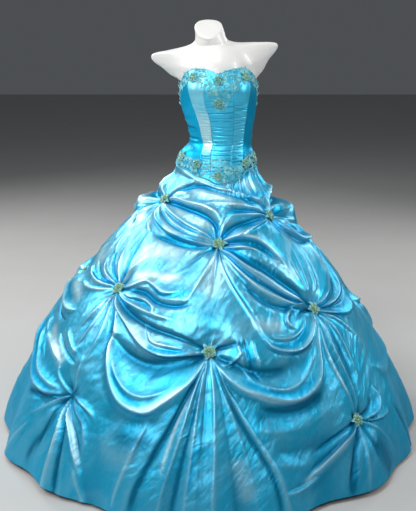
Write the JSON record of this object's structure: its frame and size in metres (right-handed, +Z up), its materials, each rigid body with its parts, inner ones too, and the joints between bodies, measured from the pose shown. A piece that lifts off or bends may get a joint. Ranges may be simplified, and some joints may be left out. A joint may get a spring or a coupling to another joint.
{
  "type": "ball gown on dress form",
  "caption": "Strapless satin ball gown with a boned basque bodice, lace applique, bead flowers and a full picked-up skirt, worn by a limbless dress form on a stand.",
  "frame": {"origin": "centre of the stand base's underside, on the floor, under the middle of the hem", "axes": "+Z up, -Y to the gown's front, +X to the viewer's right of the front"},
  "size_m": [1.5229, 1.5282, 1.4368],
  "materials": {
    "satin_bodice": "ruched turquoise satin, soft sheen",
    "satin_bodice_side": "smooth saturated turquoise satin",
    "satin_skirt": "turquoise satin with a strong sheen",
    "lace": "pale aqua corded lace",
    "beads": "olive-gold glass beads sewn in clusters",
    "form_shell": "white moulded dress form, satin gloss",
    "steel": "brushed steel stand"
  },
  "bodies": {
    "root": {"bodice_front_centre": "satin_bodice", "bodice_side_front_left": "satin_bodice", "bodice_side_front_right": "satin_bodice", "bodice_side_left": "satin_bodice_side", "bodice_side_right": "satin_bodice_side", "bodice_back_left": "satin_bodice_side", "bodice_back_right": "satin_bodice_side", "skirt_front_left": "satin_skirt", "skirt_front_right": "satin_skirt", "skirt_back_left": "satin_skirt", "skirt_back_right": "satin_skirt", "rosette_front_left_1": "beads", "rosette_front_right_1": "beads", "rosette_back_right_1": "beads", "rosette_back_left_1": "beads", "rosette_front_2": "beads", "rosette_side_right_2": "beads", "rosette_side_left_2": "beads", "rosette_back_2": "beads", "rosette_front_left_3": "beads", "rosette_front_right_3": "beads", "rosette_back_right_3": "beads", "rosette_back_left_3": "beads", "rosette_front_4": "beads", "rosette_side_right_4": "beads", "rosette_side_left_4": "beads", "rosette_back_4": "beads", "rosette_front_right_5": "beads", "rosette_back_right_5": "beads", "rosette_back_left_5": "beads", "flower_bust_left": "beads", "flower_bust_middle": "beads", "flower_bust_right": "beads", "flower_bust_lower": "beads", "flower_hip_left_side": "beads", "flower_hip_left": "beads", "flower_hip_point": "beads", "flower_hip_right": "beads", "flower_hip_right_side": "beads", "lace_neckline_left": "lace", "lace_neckline_centre": "lace", "lace_neckline_right": "lace", "lace_hip_left": "lace", "lace_hip_centre": "lace", "lace_hip_right": "lace", "lace_hip_back_left": "lace", "lace_hip_back_right": "lace", "form_torso": "form_shell", "stand_pole": "steel", "stand_base": "steel"}
  },
  "joints": []
}
